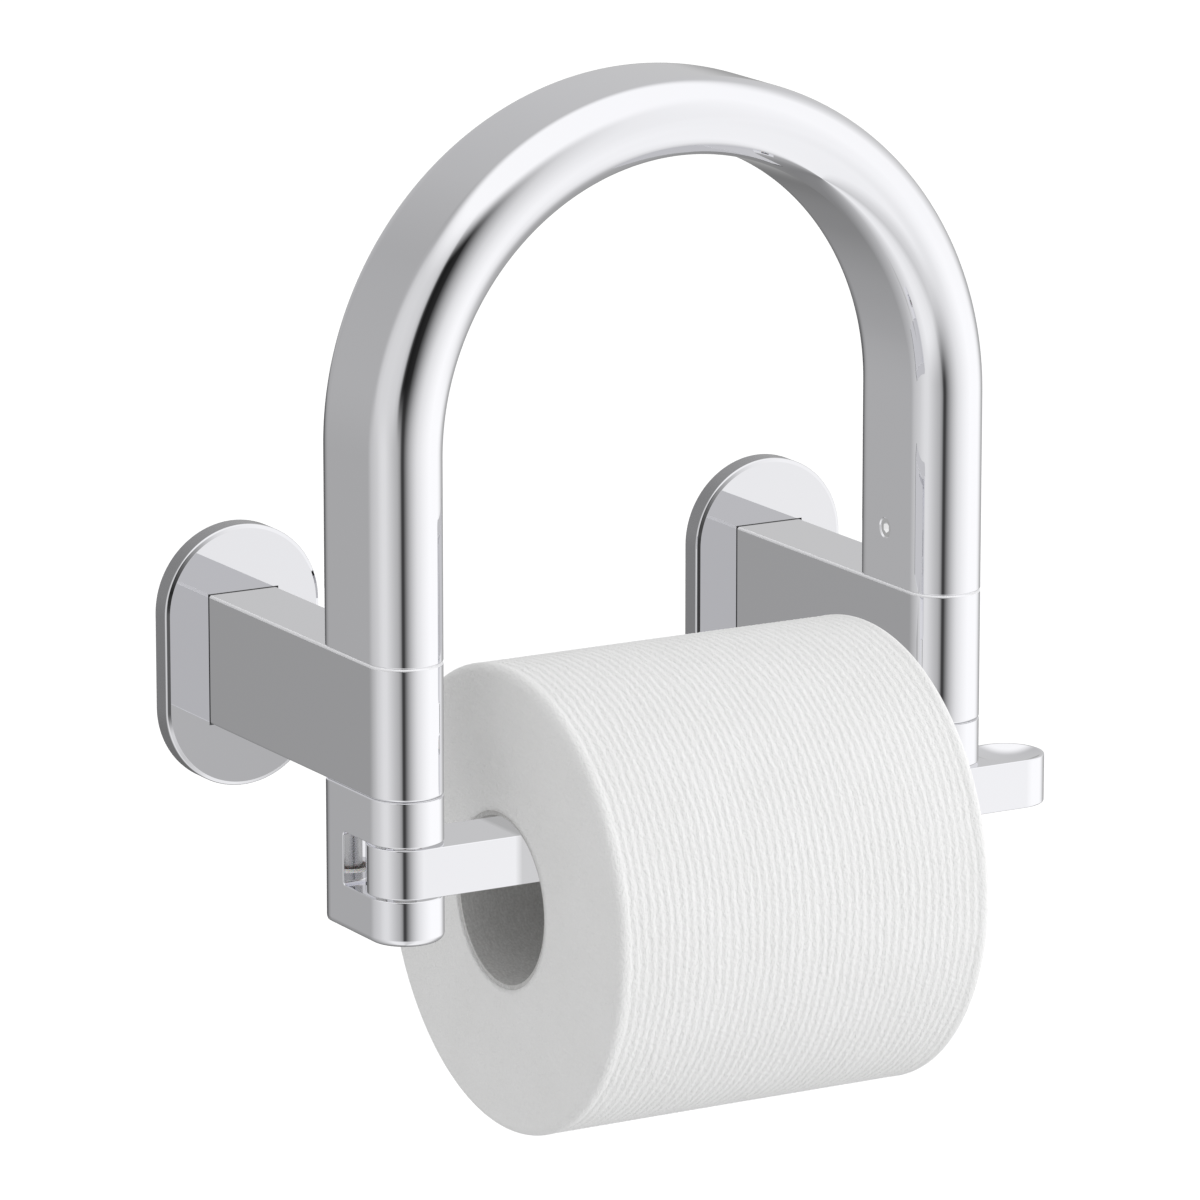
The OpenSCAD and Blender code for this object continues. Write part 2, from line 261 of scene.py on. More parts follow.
# Of the built pieces only these are mirrored in the chrome; the rest would break up into
# specks in it. Nor does chrome shade the paper, which the studio lights evenly.
SEEN_IN_CHROME = ("Left_Post_Bar", "Right_Post_Bar", "Hinge_Block_Body", "Rest_Block_Body")


def add_object(name, data):
    made = bpy.data.objects.new(name, data)
    bpy.context.scene.collection.objects.link(made)
    return made


def finish_piece(name, mesh, body, slot, material, *nodes):
    """Adds the object, hides the CAD nodes it stands for, and puts it on its body."""
    piece = add_object(name, mesh)
    mesh.materials.append(material)
    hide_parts(*nodes)
    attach(piece, body)
    piece.visible_glossy = name in SEEN_IN_CHROME
    piece.visible_diffuse = piece.visible_shadow = slot != "polished_chrome"
    return piece


# ---- Outlines ----

def rounded_rect(u0, u1, v0, v1, radii):
    """An outline as a function of inset, giving points and normals of four corner arcs.

    The corners run anticlockwise from (u1, v1), and radii are in that order; a pair of
    radii makes an elliptical corner.
    """
    corners = [(u1, v1, 1, 1), (u0, v1, -1, 1), (u0, v0, -1, -1), (u1, v0, 1, -1)]

    def outline(inset=0.0):
        points, normals = [], []
        for turn, ((u, v, su, sv), radius) in enumerate(zip(corners, radii)):
            full = np.broadcast_to(radius, 2)
            r = np.maximum(full - inset, SHARPEST)
            centre = np.array([u - su * (inset + r[0]), v - sv * (inset + r[1])])
            a = np.radians(90 * turn + np.linspace(0, 90, ARC_STEPS + 1))
            ring = np.column_stack([np.cos(a), np.sin(a)])
            points.append(centre + r * ring)
            out = ring / full
            normals.append(out / np.linalg.norm(out, axis=1)[:, None])
        return np.concatenate(points), np.concatenate(normals)

    return outline


def flat_after(corner):
    """Column of an outline that holds the flat after corner 0, 1, 2 or 3."""
    return (corner + 1) * (ARC_STEPS + 1) - 1


def bar_outline(back):
    """Plan of the bar, v out of the wall: a full round front and small back edges."""
    return rounded_rect(-NOSE_R, NOSE_R, back, REACH,
                        (NOSE_R, NOSE_R, (BACK_EDGE, BACK_EASE), (BACK_EDGE, BACK_EASE)))


def circle(u, v, radius, steps=48):
    a = np.linspace(0, 2 * math.pi, steps, endpoint=False)
    return np.column_stack([u + radius * np.cos(a), v + radius * np.sin(a)])


def quarter_round(radius, steps=6):
    """(inset, rise, across, along) from the flat cap, across the round, to the side."""
    for i in range(steps + 1):
        a = math.pi / 2 * (1 - i / steps)
        yield (radius * (1 - math.cos(a)), radius * (1 - math.sin(a)),
               math.cos(a), math.sin(a))


def ring_rows(axes, outline, w, toward, radius, steps=6):
    """Rows of a rounded end, from the cap at height w to the side; toward is its sign."""
    rows, normals = [], []
    for inset, rise, across, along in quarter_round(radius, steps):
        ring, out = outline(inset)
        rows.append(axes.points_at(ring, w - toward * rise))
        normals.append(axes.directions(across * out, toward * along))
    return rows, normals


def seam_neck(skin, axes, outline, w, toward):
    """The sunk neck beyond an end at height w, where the bar meets its neighbour."""
    ring, out = outline(SEAM_INSET)
    inner = outline(SEAM_ROUND)[0]
    side = axes.directions(out, 0)
    start, end = axes.points_at(ring, w), w + toward * SEAM_GAP
    skin.grid([start, axes.points_at(ring, end)], [side, side], wrap=True)
    skin.grid([start, axes.points_at(inner, w)], axes.direction([0, 0, toward]), wrap=True)
    skin.plate(axes, end, toward, [ring])


def bore(skin, axes, u, v, radius, w, depth, chamfer=0.0, floor=True, steps=48):
    """Walls of a round hole that starts at height w and ends at w + depth."""
    a = np.linspace(0, 2 * math.pi, steps, endpoint=False)
    ring = np.column_stack([np.cos(a), np.sin(a), np.zeros(steps)])
    centre, sign = np.array([u, v, w]), math.copysign(1, depth)
    lip = axes.point(centre + (radius + chamfer) * ring)
    mouth = axes.point(centre + radius * ring + [0, 0, sign * chamfer])
    end = axes.point(centre + radius * ring + [0, 0, depth])
    wall = axes.direction(-ring)
    if chamfer:
        slope = axes.direction((-ring - [0, 0, sign]) / math.sqrt(2))
        skin.grid([lip, mouth], [slope, slope], wrap=True)
    skin.grid([mouth, end], [wall, wall], wrap=True)
    if floor:
        skin.plate(axes, w + depth, -sign, [circle(u, v, radius, steps)])


def pocket(skin, axes, loop, w, depth):
    """Flat-sided walls and the floor of a recess with the outline of a loop."""
    there = np.roll(loop, -1, axis=0)
    end = w + depth
    corners = np.stack([axes.points_at(loop, w), axes.points_at(there, w),
                        axes.points_at(there, end), axes.points_at(loop, end)], axis=1)
    along = there - loop
    inward = np.column_stack([-along[:, 1], along[:, 0]])
    inward /= np.linalg.norm(inward, axis=1)[:, None]
    skin.add(corners, axes.directions(inward, 0)[:, None])
    skin.plate(axes, end, -math.copysign(1, depth), [loop])


def upright_axes(side):
    """u is +X, v points out of the wall and w up, on one post's centre line."""
    return Axes((side * HALF, 0, 0), (1, 0, 0), (0, -1, 0), (0, 0, 1))


# ---- Materials ----

# Painted light over the chrome: shade on the covers' and posts' sides, a highlight on the
# posts' upper edges, black shade where the posts enter the covers, and a reflection on the arm
# in the roll
COVER_SIDE_SHADE = (0.47, 0.47, 0.485)
POST_SIDE_SHADE = (0.75, 0.75, 0.77)
POST_EDGE_HIGHLIGHT = (0.98, 0.98, 1.0)
POST_ROOT_SHADE = (0.03, 0.03, 0.032)
ARM_IN_CORE_SHADE = (0.67, 0.67, 0.685)
CORE_SHADE = 2.0 * MM                # how softly the arm's tone changes at the roll's ends


def new_material(name, colour, metallic=0.0, roughness=0.5):
    material = bpy.data.materials.new(name)
    material.use_nodes = True
    shader = material.node_tree.nodes["Principled BSDF"]
    shader.inputs["Base Color"].default_value = (*colour, 1)
    shader.inputs["Metallic"].default_value = metallic
    shader.inputs["Roughness"].default_value = roughness
    return material, material.node_tree, shader


def add_node(tree, kind, inputs=(), **settings):
    node = tree.nodes.new(kind)
    for key, value in settings.items():
        setattr(node, key, value)
    for key, value in dict(inputs).items():
        if isinstance(value, bpy.types.NodeSocket):
            tree.links.new(value, node.inputs[key])
        else:
            node.inputs[key].default_value = value
    return node


def object_coords(tree, scale=(1, 1, 1)):
    place = add_node(tree, "ShaderNodeTexCoord").outputs["Object"]
    return add_node(tree, "ShaderNodeMapping", {"Vector": place, "Scale": scale}).outputs[0]


def axis_coord(tree, axis):
    return add_node(tree, "ShaderNodeSeparateXYZ", {0: object_coords(tree)}).outputs[axis]


def compute(tree, operation, a, b=0.0):
    return add_node(tree, "ShaderNodeMath", {0: a, 1: b}, operation=operation).outputs[0]


def noise(tree, vector, scale, detail=2.0, roughness=0.5):
    return add_node(tree, "ShaderNodeTexNoise", {
        "Vector": vector, "Scale": scale, "Detail": detail,
        "Roughness": roughness}).outputs["Fac"]


def between(tree, value, low, high, start=0.0, end=1.0):
    """Maps a 0 to 1 value, or the stretch from start to end of it, on to low to high."""
    return add_node(tree, "ShaderNodeMapRange", {
        "Value": value, "From Min": start, "From Max": end,
        "To Min": low, "To Max": high}).outputs[0]


def tint(tree, value, dark, light):
    mix = add_node(tree, "ShaderNodeMix", data_type="RGBA")
    tree.links.new(value, mix.inputs["Factor"])
    mix.inputs["A"].default_value = (*dark, 1)
    mix.inputs["B"].default_value = (*light, 1)
    return mix.outputs["Result"]


def bump(tree, shader, height, strength, distance):
    node = add_node(tree, "ShaderNodeBump", {
        "Height": height, "Strength": strength, "Distance": distance})
    tree.links.new(node.outputs[0], shader.inputs["Normal"])


def link(tree, output, shader, socket):
    tree.links.new(output, shader.inputs[socket])


def chrome_material(name, strength=1.0):
    """Mirror plating, faintly cool, with smears and buffing haze in its roughness.

    Returns the material, its tree and shader, and the outputs of its colour, roughness
    and haze, for painted shade and highlights to be laid over it.
    """
    cool = tuple(strength * c for c in (0.945, 0.948, 0.985))
    warm = tuple(strength * c for c in (0.955, 0.953, 0.975))
    material, tree, shader = new_material(name, cool, 1.0, 0.012)
    smears = noise(tree, object_coords(tree), 18, 3)
    haze = noise(tree, object_coords(tree, (1, 1, 6)), 420, 2)
    rough = between(tree, compute(tree, "MULTIPLY", smears, haze), 0.004, 0.022, 0.1, 0.5)
    colour = tint(tree, smears, cool, warm)
    link(tree, rough, shader, "Roughness")
    link(tree, colour, shader, "Base Color")
    return material, tree, shader, colour, rough, haze


def paint_light_over(tree, shader, mask, colour, rough, new_colour, new_rough):
    """Lays a new colour and roughness over the old where the mask is 1; it carries the painted
    shade and highlights on the chrome.
    """
    over = add_node(tree, "ShaderNodeMix", data_type="RGBA")
    tree.links.new(mask, over.inputs["Factor"])
    tree.links.new(colour, over.inputs["A"])
    over.inputs["B"].default_value = (*new_colour, 1)
    matt = add_node(tree, "ShaderNodeMix", {0: mask, 2: rough, 3: new_rough}).outputs[0]
    link(tree, over.outputs["Result"], shader, "Base Color")
    link(tree, matt, shader, "Roughness")
    return over.outputs["Result"], matt


def cover_material():
    """Chrome whose side wall, below the front bevel, has a satin roughness and painted shade:
    its colour is darker.
    """
    material, tree, shader, colour, rough, haze = chrome_material("cover_chrome", 0.94)
    out = axis_coord(tree, "Y")
    wall = COVER_T - COVER_BEVEL_DEPTH
    # Painted shade: the side wall behind the bevel is darker, laid on with a satin roughness
    satin_and_shade = between(tree, out, 0, 1, -wall - 0.1 * MM, -wall)
    grain = between(tree, haze, 0.16, 0.3)
    paint_light_over(tree, shader, satin_and_shade, colour, rough, COVER_SIDE_SHADE, grain)
    return material


def post_material():
    """Chrome with painted shade on its sides, a painted highlight along its upper edges, and
    painted black shade where it runs into the cover, for the dark gap there."""
    material, tree, shader, colour, rough, haze = chrome_material("post_chrome")
    normal = add_node(tree, "ShaderNodeTexCoord").outputs["Normal"]
    x, _, z = add_node(tree, "ShaderNodeSeparateXYZ", {0: normal}).outputs
    x = compute(tree, "ABSOLUTE", x)
    # Painted shade: the flat sides are darker
    side = between(tree, x, 0, 1, 0.94, 0.999)
    colour, rough = paint_light_over(tree, shader, side, colour, rough, POST_SIDE_SHADE, rough)
    # Painted highlight: a bright line along the upper edges, with a rougher haze
    edge = between(tree, compute(tree, "MULTIPLY", x, z), 0, 1, 0.02, 0.16)
    colour, rough = paint_light_over(tree, shader, edge, colour, rough, POST_EDGE_HIGHLIGHT,
                                between(tree, haze, 0.5, 0.7))
    # Painted shade: black where the post runs into the cover, for the dark gap line there
    out = axis_coord(tree, "Y")
    painted_root_shade = between(tree, out, 0, 1, -COVER_T - 0.25 * MM, -COVER_T + 0.05 * MM)
    paint_light_over(tree, shader, painted_root_shade, colour, rough, POST_ROOT_SHADE, between(tree, haze, 0.4, 0.6))
    return material


def arm_material():
    """Chrome with a painted reflection inside the roll: greyer there, for the core's wall
    mirrored in it.
    """
    material, tree, shader, colour, rough, _ = chrome_material("arm_chrome")
    along, half = axis_coord(tree, "X"), CORE_SHADE / 2
    # Painted reflection: greyer between the roll's ends, for the core's wall that the arm
    # mirrors there
    near = between(tree, along, 0, 1, roll_low.x - half, roll_low.x + half)
    far = between(tree, along, 1, 0, roll_high.x - half, roll_high.x + half)
    core_reflection_shade = compute(tree, "MULTIPLY", near, far)
    paint_light_over(tree, shader, core_reflection_shade, colour, rough, ARM_IN_CORE_SHADE, rough)
    return material


def paper_material():
    """Soft white tissue: fibres, and faint wound layers where the ends are cut."""
    material, tree, shader = new_material("tissue_paper", (0.9, 0.9, 0.9), 0, 0.95)
    coords = object_coords(tree)
    fibres = noise(tree, object_coords(tree, (1.7, 1, 1)), 800, 3, 0.6)
    cloud = noise(tree, coords, 60, 2)
    link(tree, tint(tree, cloud, (0.9, 0.9, 0.895), (0.945, 0.945, 0.945)),
         shader, "Base Color")
    shader.inputs["Sheen Weight"].default_value = 0.08
    shader.inputs["Sheen Roughness"].default_value = 0.5
    shader.inputs["Specular IOR Level"].default_value = 0.15
    bump(tree, shader, fibres, 0.8, 0.0006)
    return material


def cardboard_material():
    """Grey-brown spiral-wound board: a lap line, fibres and flecks."""
    material, tree, shader = new_material("core_board", (0.66, 0.65, 0.64), 0, 0.9)
    coords = object_coords(tree)
    fibres = noise(tree, object_coords(tree, (3, 1, 1)), 500, 4, 0.7)
    flecks = noise(tree, coords, 1600, 2)
    mixed = between(tree, compute(tree, "MULTIPLY", fibres, flecks), 0, 1, 0.1, 0.45)
    link(tree, tint(tree, mixed, (0.53, 0.527, 0.52), (0.73, 0.728, 0.722)),
         shader, "Base Color")
    shader.inputs["Specular IOR Level"].default_value = 0.2
    bump(tree, shader, fibres, 0.4, 0.0002)
    return material


def zinc_material():
    """Zinc-plated sheet with a fine spangle and rolling marks."""
    material, tree, shader = new_material("zinc_sheet", (0.6, 0.61, 0.63), 1.0, 0.35)
    spangle = add_node(tree, "ShaderNodeTexVoronoi", {
        "Vector": object_coords(tree), "Scale": 350})
    marks = noise(tree, object_coords(tree, (1, 1, 0.05)), 1500, 3)
    link(tree, tint(tree, spangle.outputs["Distance"], (0.52, 0.54, 0.57),
                    (0.7, 0.71, 0.72)), shader, "Base Color")
    link(tree, between(tree, marks, 0.26, 0.46), shader, "Roughness")
    bump(tree, shader, marks, 0.15, 0.0001)
    return material


def steel_material(name, dark, light, roughness):
    """Turned steel: fine lathe rings and a little colour variation."""
    material, tree, shader = new_material(name, light, 1.0, roughness)
    rings = add_node(tree, "ShaderNodeTexWave", {
        "Vector": object_coords(tree), "Scale": 900, "Distortion": 1.5, "Detail": 2},
        bands_direction="Z")
    grime = noise(tree, object_coords(tree), 300, 3)
    link(tree, tint(tree, grime, dark, light), shader, "Base Color")
    link(tree, between(tree, grime, roughness * 0.75, roughness * 1.3), shader, "Roughness")
    bump(tree, shader, rings.outputs["Fac"], 0.12, 0.00008)
    return material


def rubber_material():
    """Matte moulded rubber with a fine pebble and dusty patches."""
    material, tree, shader = new_material("moulded_rubber", (0.03, 0.03, 0.032), 0, 0.75)
    dust = noise(tree, object_coords(tree), 150, 3)
    pebble = noise(tree, object_coords(tree), 2600, 2)
    link(tree, tint(tree, dust, (0.022, 0.022, 0.024), (0.055, 0.055, 0.058)),
         shader, "Base Color")
    link(tree, between(tree, dust, 0.62, 0.85), shader, "Roughness")
    bump(tree, shader, pebble, 0.3, 0.0001)
    return material


def nylon_material():
    """Milky moulded nylon with faint flow marks."""
    material, tree, shader = new_material("moulded_nylon", (0.78, 0.77, 0.73), 0, 0.42)
    flow = noise(tree, object_coords(tree, (1, 1, 4)), 220, 3)
    link(tree, tint(tree, flow, (0.72, 0.71, 0.67), (0.84, 0.83, 0.8)), shader, "Base Color")
    link(tree, between(tree, flow, 0.34, 0.52), shader, "Roughness")
    shader.inputs["Subsurface Weight"].default_value = 0.15
    shader.inputs["Subsurface Scale"].default_value = 0.002
    bump(tree, shader, noise(tree, object_coords(tree), 1800, 2), 0.08, 0.0001)
    return material


chrome = chrome_material("polished_chrome")[0]
cover_chrome, post_chrome, arm_chrome = cover_material(), post_material(), arm_material()
paper = paper_material()
board = cardboard_material()
zinc = zinc_material()
steel = steel_material("turned_steel", (0.5, 0.5, 0.5), (0.68, 0.68, 0.67), 0.28)
bright_steel = steel_material("plated_screw_steel", (0.8, 0.8, 0.81), (0.95, 0.95, 0.95), 0.16)
dark_steel = steel_material("black_oxide_steel", (0.06, 0.06, 0.065), (0.16, 0.16, 0.165), 0.38)
rubber = rubber_material()
nylon = nylon_material()


# ---- Loop and posts ----

ARCH_ROWS = 145


def build_loop():
    """Two legs and a half-circle arch; u points away from the arch's centre."""
    skin = Skin()
    outline = bar_outline(LEG_BACK)
    foot = POST_TOP + SEAM_GAP
    inner_flat = flat_after(1)
    ring, out = outline()
    screw_v = -(loop_screw_low.y + loop_screw_high.y) / 2
    screw_z = (loop_screw_low.z + loop_screw_high.z) / 2
    for side in (LEFT, RIGHT):
        axes = Axes((side * HALF, 0, 0), (side, 0, 0), (0, -1, 0), (0, 0, 1))
        rows, normals = ring_rows(axes, outline, foot, -1, SEAM_ROUND)
        skin.grid(rows, normals, wrap=True)
        seam_neck(skin, axes, outline, foot, -1)
        top = axes.points_at(ring, ARCH_Z)
        skin.grid([rows[-1], top], [normals[-1], normals[-1]], wrap=True, skip=[inner_flat])
        face = Axes((side * (HALF - NOSE_R), 0, 0), (0, -1, 0), (0, 0, 1), (-side, 0, 0))
        low, high = foot + SEAM_ROUND, ARCH_Z
        skin.plate(face, 0, 1, [
            [(LEG_BACK + BACK_EASE, low), (NOSE_OUT, low),
             (NOSE_OUT, high), (LEG_BACK + BACK_EASE, high)],
            circle(screw_v, screw_z, SCREW_R + SCREW_CHAMFER)])
        bore(skin, face, screw_v, screw_z, SCREW_R, 0, -SCREW_DEPTH, SCREW_CHAMFER)
    rows, normals = [], []
    for a in np.linspace(0, math.pi, ARCH_ROWS):
        radial = (math.cos(a), 0, math.sin(a))
        axes = Axes((HALF * radial[0], 0, ARCH_Z + HALF * radial[2]),
                    radial, (0, -1, 0), (0, 0, 0))
        rows.append(axes.points_at(ring, 0))
        normals.append(axes.directions(out, 0))
    skin.grid(rows, normals, wrap=True)
    skin.build("Loop_Bar", "holder", "polished_chrome", chrome, "grab_loop")


def build_post(side, name, node):
    """A horizontal bar from inside its cover to the loop, with a screw hole beneath."""
    skin = Skin()
    axes, outline = upright_axes(side), bar_outline(POST_BACK)
    screw_v = -(post_screw_low.y + post_screw_high.y) / 2
    top, top_normals = ring_rows(axes, outline, POST_TOP, 1, POST_ROUND)
    low, low_normals = ring_rows(axes, outline, -POST_TOP, -1, POST_ROUND)
    skin.grid(top + low[::-1], top_normals + low_normals[::-1], wrap=True)
    cap = outline(POST_ROUND)[0]
    skin.plate(axes, POST_TOP, 1, [cap])
    skin.plate(axes, -POST_TOP, -1, [cap, circle(0, screw_v, SCREW_R + SCREW_CHAMFER)])
    bore(skin, axes, 0, screw_v, SCREW_R, -POST_TOP, SCREW_DEPTH, SCREW_CHAMFER)
    skin.build(name, "holder", "polished_chrome", post_chrome, node)


# ---- End blocks ----

def slot_path():
    """The slot's wall from the ceiling's front to the floor's front, as (v, w) points
    with normals that point into the slot."""
    points, normals = [(NOSE_OUT, SLOT_TOP)], [(0, -1)]
    for centre_w, start in ((SLOT_TOP - SLOT_CORNER, 90), (SLOT_FLOOR + SLOT_CORNER, 180)):
        for a in np.radians(np.linspace(start, start + 90, 9)):
            points.append((SLOT_BACK + SLOT_CORNER + SLOT_CORNER * math.cos(a),
                           centre_w + SLOT_CORNER * math.sin(a)))
            normals.append((-math.cos(a), -math.sin(a)))
    points.append((NOSE_OUT, SLOT_FLOOR))
    normals.append((0, 1))
    return np.array(points), np.array(normals)


def block_sides(skin, axes, high, low):
    """Both flat sides, with the slot's notch, its edge rounds and its back wall."""
    path, into = slot_path()
    offset = path - SLOT_ROUND * into
    back = LEG_BACK + BACK_EASE
    loop = np.concatenate([[(NOSE_OUT, high), (back, high), (back, low), (NOSE_OUT, low)],
                           offset[::-1]])
    for s in (LEFT, RIGHT):
        face = Axes(axes.point([s * NOSE_R, 0, 0]), (0, -1, 0), (0, 0, 1), (s, 0, 0))
        skin.plate(face, 0, 1, [loop])
        rows, normals = [], []
        for inset, rise, across, along in quarter_round(SLOT_ROUND):
            edge = path - rise * into
            u = np.full((len(path), 1), s * (NOSE_R - inset))
            rows.append(axes.point(np.hstack([u, edge])))
            normals.append(axes.direction(np.hstack([u * 0 + s * across, along * into])))
        skin.grid(rows, normals)
    wall, facing = path[1:-1], into[1:-1]
    u = np.full((len(wall), 1), NOSE_R - SLOT_ROUND)
    normal = axes.direction(np.hstack([u * 0, facing]))
    skin.grid([axes.point(np.hstack([-u, wall])), axes.point(np.hstack([u, wall]))],
              [normal, normal])


def build_block(side, ceiling_holes=(), floor_holes=(), base_holes=()):
    """Skin and axes of an end block: two cheeks joined by a web, below the post."""
    skin = Skin()
    axes, outline = upright_axes(side), bar_outline(LEG_BACK)
    top, nose = -POST_TOP - SEAM_GAP, 2 * (ARC_STEPS + 1)
    rows, normals = ring_rows(axes, outline, top, 1, SEAM_ROUND)
    skin.grid(rows, normals, wrap=True)
    seam_neck(skin, axes, outline, top, 1)
    base, base_normals = ring_rows(axes, outline, BLOCK_BOTTOM, -1, BLOCK_ROUND, 10)
    skin.grid(base, base_normals, wrap=True)
    skin.plate(axes, BLOCK_BOTTOM, -1, [outline(BLOCK_ROUND)[0], *base_holes])
    skin.grid([rows[-1][nose:], base[-1][nose:]], [normals[-1][nose:]] * 2)
    block_sides(skin, axes, top - SEAM_ROUND, BLOCK_BOTTOM + BLOCK_ROUND)
    corner = SLOT_BACK + SLOT_CORNER
    wide = NOSE_R - SLOT_ROUND
    for w, toward, cheek, cheek_normals, holes in (
            (SLOT_TOP, -1, rows[-1], normals[-1], ceiling_holes),
            (SLOT_FLOOR, 1, base[-1], base_normals[-1], floor_holes)):
        lip, lip_normals = ring_rows(axes, outline, w, toward, SLOT_ROUND)
        skin.grid([r[:nose] for r in lip] + [cheek[:nose]],
                  [n[:nose] for n in lip_normals] + [cheek_normals[:nose]])
        half_disc = outline(SLOT_ROUND)[0][:nose]
        lip_line = np.concatenate([half_disc, [(-wide, corner), (wide, corner)]])
        skin.plate(axes, w, toward, [lip_line, *holes])
    return skin, axes


def build_hinge_block():
    """The left block, with the bores of the pivot pin, the stop pin and the drag ball."""
    pivot_r, rider_r = PIN_R + BORE_GAP, RIDER_R + BORE_GAP
    pivot = circle(0, NOSE_OUT, pivot_r)
    rider = circle(-TRACK_R, NOSE_OUT, rider_r)
    skin, axes = build_block(LEFT, [pivot, rider], [pivot, rider],
                             [circle(0, NOSE_OUT, pivot_r + PIVOT_CHAMFER)])
    bore(skin, axes, 0, NOSE_OUT, pivot_r, BLOCK_BOTTOM, SLOT_FLOOR - BLOCK_BOTTOM,
         PIVOT_CHAMFER, floor=False)
    bore(skin, axes, 0, NOSE_OUT, pivot_r, SLOT_TOP, pin_high.z - SLOT_TOP)
    bore(skin, axes, -TRACK_R, NOSE_OUT, rider_r, SLOT_TOP, drag_high.z - SLOT_TOP)
    bore(skin, axes, -TRACK_R, NOSE_OUT, rider_r, SLOT_FLOOR, stop_low.z - SLOT_FLOOR)
    skin.build("Hinge_Block_Body", "holder", "polished_chrome", chrome, "left_hinge_block")


def build_rest_block():
    """The right block, whose slot holds the pad and bumper that the arm rests on."""
    pad = np.array([(pad_low.x - HALF, -pad_high.y), (pad_high.x - HALF, -pad_high.y),
                    (pad_high.x - HALF, -pad_low.y), (pad_low.x - HALF, -pad_low.y)])
    skin, axes = build_block(RIGHT, floor_holes=[pad])
    pocket(skin, axes, pad, SLOT_FLOOR, pad_low.z - SLOT_FLOOR)
    skin.build("Rest_Block_Body", "holder", "polished_chrome", chrome, "right_rest_block")


# ---- Arm ----

DISH_AROUND = 96


def arm_dish(skin, axes, top):
    """Shallow finger dish in the free end: a rounded lip running into a sphere."""
    sphere = (DISH_R ** 2 + DISH_DEPTH ** 2) / (2 * DISH_DEPTH)
    centre = top - DISH_DEPTH + sphere
    lip_r = math.sqrt((sphere + DISH_ROUND) ** 2 - (sphere - DISH_DEPTH + DISH_ROUND) ** 2)
    steepest = math.asin(lip_r / (sphere + DISH_ROUND))
    around = np.linspace(0, 2 * math.pi, DISH_AROUND, endpoint=False)
    ring = np.column_stack([np.cos(around), np.sin(around), np.zeros(DISH_AROUND)])
    rows, normals = [], []
    for a in np.linspace(0, steepest, 7):
        height = top - DISH_ROUND + DISH_ROUND * math.cos(a)
        rows.append(axes.point((lip_r - DISH_ROUND * math.sin(a)) * ring
                               + [ARM_LEN, 0, height]))
        normals.append(axes.direction(-math.sin(a) * ring + [0, 0, math.cos(a)]))
    for a in np.linspace(steepest, 0, 24)[1:]:
        rows.append(axes.point(sphere * math.sin(a) * ring
                               + [ARM_LEN, 0, centre - sphere * math.cos(a)]))
        normals.append(axes.direction(-math.sin(a) * ring + [0, 0, math.cos(a)]))
    skin.grid(rows, normals, wrap=True)
    return circle(ARM_LEN, 0, lip_r, DISH_AROUND)


def track_outline():
    """Outline of the part-circle groove round the pivot, as long as the arm's swing."""
    half_w = RIDER_R + TRACK_GAP / 2
    spare = math.degrees(math.asin(half_w / TRACK_R))
    a = np.radians(np.linspace(180 - spare, 180 + ARM_SWING + spare, 49))
    ring = np.column_stack([np.cos(a), np.sin(a)])
    return np.concatenate([(TRACK_R + half_w) * ring, (TRACK_R - half_w) * ring[::-1]])


def build_arm():
    """A straight bar with round ends, from the pivot to past the right block."""
    skin = Skin()
    axes = Axes((-HALF, -NOSE_OUT, 0), (1, 0, 0), (0, 1, 0), (0, 0, 1))
    outline = rounded_rect(-NOSE_R, ARM_LEN + NOSE_R, -NOSE_R, NOSE_R, [NOSE_R] * 4)
    bush_r = (bush_high.x - bush_low.x) / 2 + BORE_GAP
    top, top_normals = ring_rows(axes, outline, arm_high.z, 1, ARM_ROUND)
    low, low_normals = ring_rows(axes, outline, arm_low.z, -1, ARM_ROUND)
    skin.grid(top + low[::-1], top_normals + low_normals[::-1], wrap=True)
    cap, bush, track = outline(ARM_ROUND)[0], circle(0, 0, bush_r), track_outline()
    dish = arm_dish(skin, axes, arm_high.z)
    skin.plate(axes, arm_high.z, 1, [cap, bush, dish, track])
    skin.plate(axes, arm_low.z, -1, [cap, bush, track])
    pocket(skin, axes, track, arm_high.z, ball_low.z - TRACK_CLEAR - arm_high.z)
    pocket(skin, axes, track, arm_low.z, stop_high.z + TRACK_CLEAR - arm_low.z)
    bore(skin, axes, 0, 0, bush_r, arm_low.z, arm_high.z - arm_low.z, floor=False)
    skin.build("Roll_Arm_Bar", "arm", "polished_chrome", arm_chrome, "swing_arm")


# ---- Wall covers ----

def bevelled_rim(axes, outline, w):
    """Rows from the front face to the side: a small round, a shallow bevel, a round."""
    slope = math.radians(COVER_BEVEL_ANGLE)
    profile, at, height = [], 0.0, 0.0
    for start, end, radius in ((0, slope, COVER_FACE_ROUND),
                               (slope, math.pi / 2, COVER_SIDE_ROUND)):
        for a in np.linspace(start, end, 9):
            profile.append((at + radius * (math.sin(a) - math.sin(start)),
                            height + radius * (math.cos(start) - math.cos(a)),
                            math.sin(a), math.cos(a)))
        at, height = profile[-1][:2]
        if end == slope:
            at += COVER_BEVEL * math.cos(slope)
            height += COVER_BEVEL * math.sin(slope)
    rows, normals = [], []
    for across, drop, out_part, up_part in profile:
        ring, out = outline(at - across)
        rows.append(axes.points_at(ring, w - drop))
        normals.append(axes.directions(out_part * out, up_part))
    return rows, normals, outline(at)[0]


